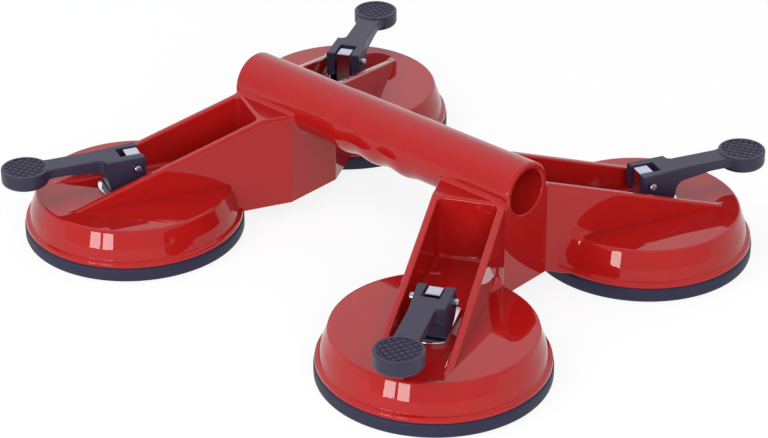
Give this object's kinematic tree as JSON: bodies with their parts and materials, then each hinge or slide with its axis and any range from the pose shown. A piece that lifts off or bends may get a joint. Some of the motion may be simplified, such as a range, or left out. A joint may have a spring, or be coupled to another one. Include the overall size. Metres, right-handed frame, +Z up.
{
  "type": "suction lifter",
  "caption": "Lever suction lifter: a glossy cast frame with a tubular hand grip and splayed channel arms carries rubber-padded cups, each locked by a cam lever.",
  "frame": {"origin": "on the sheet that the pads stand on, midway between the four cups", "axes": "+X along the hand grip, +Y across it, +Z up from the sheet"},
  "size_m": [0.338, 0.3024, 0.0794],
  "materials": {
    "casting": "gloss red lacquer",
    "lever": "satin black nylon",
    "pad": "matt black rubber",
    "stud": "bright zinc plate",
    "pin": "bright zinc plate",
    "plate": "bright polished steel"
  },
  "bodies": {
    "frame": {"hand_grip": "casting", "front_yoke": "casting", "rear_yoke": "casting", "bell_front_left": "casting", "bell_front_right": "casting", "bell_rear_left": "casting", "bell_rear_right": "casting", "wear_plate_front_left": "plate", "wear_plate_front_right": "plate", "wear_plate_rear_left": "plate", "wear_plate_rear_right": "plate", "suction_pad_front_left": "pad", "suction_pad_front_right": "pad", "suction_pad_rear_left": "pad", "suction_pad_rear_right": "pad"},
    "stud_front_left": {"lift_stud_front_left": "stud", "pivot_pin_front_left": "pin"},
    "lever_front_left": {"cam_lever_front_left": "lever"},
    "stud_front_right": {"lift_stud_front_right": "stud", "pivot_pin_front_right": "pin"},
    "lever_front_right": {"cam_lever_front_right": "lever"},
    "stud_rear_left": {"lift_stud_rear_left": "stud", "pivot_pin_rear_left": "pin"},
    "lever_rear_left": {"cam_lever_rear_left": "lever"},
    "stud_rear_right": {"lift_stud_rear_right": "stud", "pivot_pin_rear_right": "pin"},
    "lever_rear_right": {"cam_lever_rear_right": "lever"}
  },
  "joints": [
    {"name": "stud_lift_front_left", "type": "slide", "parent": "frame", "child": "stud_front_left", "axis": [0, 0, -1], "range_m": [0, 0.008], "deforming": ["suction_pad_front_left"]},
    {"name": "lever_swing_front_left", "type": "hinge", "parent": "stud_front_left", "child": "lever_front_left", "pos_m": [0.109, 0.0848, 0.04185], "axis": [0.9011, -0.4336, 0], "range_deg": [0, 90]},
    {"name": "stud_lift_front_right", "type": "slide", "parent": "frame", "child": "stud_front_right", "axis": [0, 0, -1], "range_m": [0, 0.008], "deforming": ["suction_pad_front_right"]},
    {"name": "lever_swing_front_right", "type": "hinge", "parent": "stud_front_right", "child": "lever_front_right", "pos_m": [0.109, -0.0848, 0.04185], "axis": [-0.9011, -0.4336, 0], "range_deg": [0, 90]},
    {"name": "stud_lift_rear_left", "type": "slide", "parent": "frame", "child": "stud_rear_left", "axis": [0, 0, -1], "range_m": [0, 0.008], "deforming": ["suction_pad_rear_left"]},
    {"name": "lever_swing_rear_left", "type": "hinge", "parent": "stud_rear_left", "child": "lever_rear_left", "pos_m": [-0.109, 0.0848, 0.04185], "axis": [0.9011, 0.4336, 0], "range_deg": [0, 90]},
    {"name": "stud_lift_rear_right", "type": "slide", "parent": "frame", "child": "stud_rear_right", "axis": [0, 0, -1], "range_m": [0, 0.008], "deforming": ["suction_pad_rear_right"]},
    {"name": "lever_swing_rear_right", "type": "hinge", "parent": "stud_rear_right", "child": "lever_rear_right", "pos_m": [-0.109, -0.0848, 0.04185], "axis": [-0.9011, 0.4336, 0], "range_deg": [0, 90]}
  ],
  "couplings": [
    {"joint": "lever_swing_front_left", "follows": "stud_lift_front_left", "rad_per_m": 196.35},
    {"joint": "lever_swing_front_right", "follows": "stud_lift_front_right", "rad_per_m": 196.35},
    {"joint": "lever_swing_rear_left", "follows": "stud_lift_rear_left", "rad_per_m": 196.35},
    {"joint": "lever_swing_rear_right", "follows": "stud_lift_rear_right", "rad_per_m": 196.35}
  ]
}
